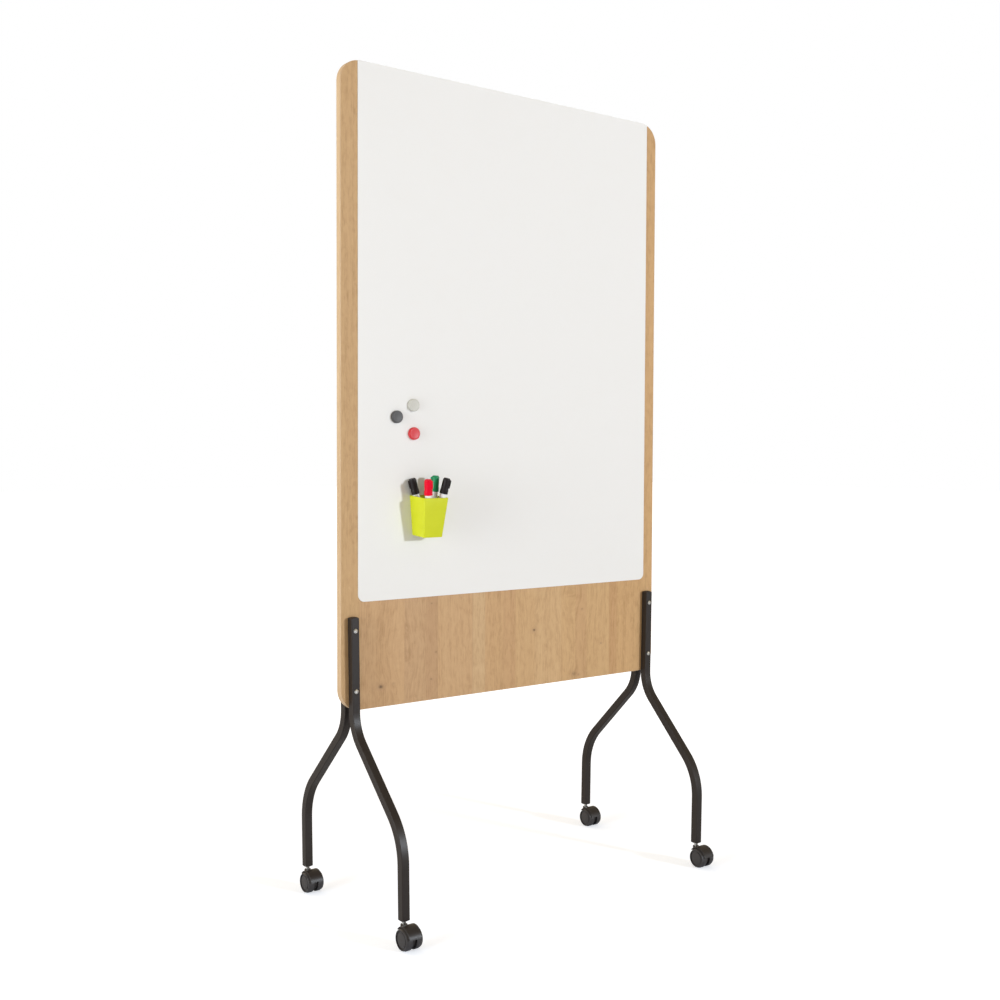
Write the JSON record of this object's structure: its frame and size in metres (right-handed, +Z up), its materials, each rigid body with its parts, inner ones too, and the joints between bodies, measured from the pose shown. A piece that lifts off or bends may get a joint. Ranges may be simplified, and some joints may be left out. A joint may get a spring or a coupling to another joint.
{
  "type": "rolling whiteboard",
  "caption": "Tall rolling whiteboard: an oak-finish board with a magnetic writing sheet, bent tube legs on twin-wheel casters, a pen pot with markers and round magnets.",
  "frame": {"origin": "middle of the footprint of the whole object, on the floor", "axes": "+X to the right along the board as seen from the writing side, +Y away from the writing side towards the back, +Z up"},
  "size_m": [0.99, 0.5052, 1.988],
  "materials": {
    "oak_melamine": "satin printed oak with a fine vertical grain",
    "oak_edging": "satin edge band matched to the oak, slightly paler",
    "hardboard": "white priming paint over hardboard, matt",
    "white_lacquer": "smooth semi-gloss magnetic writing surface",
    "black_powder_coat": "fine satin powder coat",
    "black_plastic": "moulded, lightly textured",
    "zinc_steel": "zinc plated",
    "ferrite": "sintered",
    "grey_plastic": "satin",
    "charcoal_plastic": "satin",
    "red_plastic": "satin",
    "lime_plastic": "satin",
    "white_plastic": "gloss",
    "cap_black_plastic": "satin",
    "cap_red_plastic": "satin",
    "cap_green_plastic": "satin",
    "black_felt": "ink-soaked felt",
    "red_felt": "ink-soaked felt",
    "green_felt": "ink-soaked felt"
  },
  "bodies": {
    "root": {"panel": "oak_melamine", "edge_band": "oak_edging", "sheet_backing": "hardboard", "writing_sheet": "white_lacquer", "through_screws": "zinc_steel", "sleeve_nuts": "zinc_steel", "stem_snap_rings": "zinc_steel", "leg_front_left": "black_powder_coat", "leg_cap_front_left": "black_plastic", "foot_insert_front_left": "black_plastic", "caster_stem_front_left": "zinc_steel", "leg_front_right": "black_powder_coat", "leg_cap_front_right": "black_plastic", "foot_insert_front_right": "black_plastic", "caster_stem_front_right": "zinc_steel", "leg_rear_left": "black_powder_coat", "leg_cap_rear_left": "black_plastic", "foot_insert_rear_left": "black_plastic", "caster_stem_rear_left": "zinc_steel", "leg_rear_right": "black_powder_coat", "leg_cap_rear_right": "black_plastic", "foot_insert_rear_right": "black_plastic", "caster_stem_rear_right": "zinc_steel"},
    "front_left_caster": {"caster_housing_front_left": "black_plastic", "caster_axle_front_left": "zinc_steel"},
    "left_wheel_front_left": {"left_wheel_front_left": "black_plastic"},
    "right_wheel_front_left": {"right_wheel_front_left": "black_plastic"},
    "front_right_caster": {"caster_housing_front_right": "black_plastic", "caster_axle_front_right": "zinc_steel"},
    "left_wheel_front_right": {"left_wheel_front_right": "black_plastic"},
    "right_wheel_front_right": {"right_wheel_front_right": "black_plastic"},
    "rear_left_caster": {"caster_housing_rear_left": "black_plastic", "caster_axle_rear_left": "zinc_steel"},
    "left_wheel_rear_left": {"left_wheel_rear_left": "black_plastic"},
    "right_wheel_rear_left": {"right_wheel_rear_left": "black_plastic"},
    "rear_right_caster": {"caster_housing_rear_right": "black_plastic", "caster_axle_rear_right": "zinc_steel"},
    "left_wheel_rear_right": {"left_wheel_rear_right": "black_plastic"},
    "right_wheel_rear_right": {"right_wheel_rear_right": "black_plastic"},
    "grey_magnet": {"grey_magnet_shell": "grey_plastic", "grey_magnet_disc": "ferrite"},
    "black_magnet": {"black_magnet_shell": "charcoal_plastic", "black_magnet_disc": "ferrite"},
    "red_magnet": {"red_magnet_shell": "red_plastic", "red_magnet_disc": "ferrite"},
    "pen_pot": {"pen_pot": "lime_plastic", "pen_pot_magnets": "ferrite"},
    "black_marker": {"black_marker_barrel": "white_plastic", "black_marker_nib": "black_felt"},
    "black_marker_cap": {"black_marker_cap": "cap_black_plastic"},
    "red_marker": {"red_marker_barrel": "white_plastic", "red_marker_nib": "red_felt"},
    "red_marker_cap": {"red_marker_cap": "cap_red_plastic"},
    "green_marker": {"green_marker_barrel": "white_plastic", "green_marker_nib": "green_felt"},
    "green_marker_cap": {"green_marker_cap": "cap_green_plastic"},
    "second_black_marker": {"second_black_marker_barrel": "white_plastic", "second_black_marker_nib": "black_felt"},
    "second_black_marker_cap": {"second_black_marker_cap": "cap_black_plastic"}
  },
  "joints": [
    {"name": "front_left_swivel", "type": "hinge", "parent": "root", "child": "front_left_caster", "pos_m": [-0.45833, -0.2031, 0.05], "axis": [0, 0, 1], "continuous": true},
    {"name": "left_wheel_front_left_spin", "type": "hinge", "parent": "front_left_caster", "child": "left_wheel_front_left", "pos_m": [-0.47163, -0.2241, 0.025], "axis": [1, 0, 0], "continuous": true},
    {"name": "right_wheel_front_left_spin", "type": "hinge", "parent": "front_left_caster", "child": "right_wheel_front_left", "pos_m": [-0.44504, -0.2241, 0.025], "axis": [1, 0, 0], "continuous": true},
    {"name": "front_right_swivel", "type": "hinge", "parent": "root", "child": "front_right_caster", "pos_m": [0.45833, -0.2031, 0.05], "axis": [0, 0, 1], "continuous": true},
    {"name": "left_wheel_front_right_spin", "type": "hinge", "parent": "front_right_caster", "child": "left_wheel_front_right", "pos_m": [0.44504, -0.2241, 0.025], "axis": [1, 0, 0], "continuous": true},
    {"name": "right_wheel_front_right_spin", "type": "hinge", "parent": "front_right_caster", "child": "right_wheel_front_right", "pos_m": [0.47163, -0.2241, 0.025], "axis": [1, 0, 0], "continuous": true},
    {"name": "rear_left_swivel", "type": "hinge", "parent": "root", "child": "rear_left_caster", "pos_m": [-0.45833, 0.2429, 0.05], "axis": [0, 0, 1], "continuous": true},
    {"name": "left_wheel_rear_left_spin", "type": "hinge", "parent": "rear_left_caster", "child": "left_wheel_rear_left", "pos_m": [-0.47163, 0.2219, 0.025], "axis": [1, 0, 0], "continuous": true},
    {"name": "right_wheel_rear_left_spin", "type": "hinge", "parent": "rear_left_caster", "child": "right_wheel_rear_left", "pos_m": [-0.44504, 0.2219, 0.025], "axis": [1, 0, 0], "continuous": true},
    {"name": "rear_right_swivel", "type": "hinge", "parent": "root", "child": "rear_right_caster", "pos_m": [0.45833, 0.2429, 0.05], "axis": [0, 0, 1], "continuous": true},
    {"name": "left_wheel_rear_right_spin", "type": "hinge", "parent": "rear_right_caster", "child": "left_wheel_rear_right", "pos_m": [0.44504, 0.2219, 0.025], "axis": [1, 0, 0], "continuous": true},
    {"name": "right_wheel_rear_right_spin", "type": "hinge", "parent": "rear_right_caster", "child": "right_wheel_rear_right", "pos_m": [0.47163, 0.2219, 0.025], "axis": [1, 0, 0], "continuous": true},
    {"name": "grey_magnet_pull", "type": "slide", "parent": "root", "child": "grey_magnet", "axis": [0, -1, 0], "range_m": [0, 0.05]},
    {"name": "black_magnet_pull", "type": "slide", "parent": "root", "child": "black_magnet", "axis": [0, -1, 0], "range_m": [0, 0.05]},
    {"name": "red_magnet_pull", "type": "slide", "parent": "root", "child": "red_magnet", "axis": [0, -1, 0], "range_m": [0, 0.05]},
    {"name": "pen_pot_pull", "type": "slide", "parent": "root", "child": "pen_pot", "axis": [0, -1, 0], "range_m": [0, 0.1]},
    {"name": "black_marker_lift", "type": "slide", "parent": "pen_pot", "child": "black_marker", "axis": [-0.2739, -0.0081, 0.9617], "range_m": [0, 0.11]},
    {"name": "black_marker_cap_pull", "type": "slide", "parent": "black_marker", "child": "black_marker_cap", "axis": [-0.2739, -0.0081, 0.9617], "range_m": [0, 0.045]},
    {"name": "red_marker_lift", "type": "slide", "parent": "pen_pot", "child": "red_marker", "axis": [-0.121, -0.16, 0.9797], "range_m": [0, 0.11]},
    {"name": "red_marker_cap_pull", "type": "slide", "parent": "red_marker", "child": "red_marker_cap", "axis": [-0.121, -0.16, 0.9797], "range_m": [0, 0.045]},
    {"name": "green_marker_lift", "type": "slide", "parent": "pen_pot", "child": "green_marker", "axis": [0.0052, -0.1072, 0.9942], "range_m": [0, 0.11]},
    {"name": "green_marker_cap_pull", "type": "slide", "parent": "green_marker", "child": "green_marker_cap", "axis": [0.0052, -0.1072, 0.9942], "range_m": [0, 0.045]},
    {"name": "second_black_marker_lift", "type": "slide", "parent": "pen_pot", "child": "second_black_marker", "axis": [0.141, -0.2049, 0.9686], "range_m": [0, 0.11]},
    {"name": "second_black_marker_cap_pull", "type": "slide", "parent": "second_black_marker", "child": "second_black_marker_cap", "axis": [0.141, -0.2049, 0.9686], "range_m": [0, 0.045]}
  ]
}
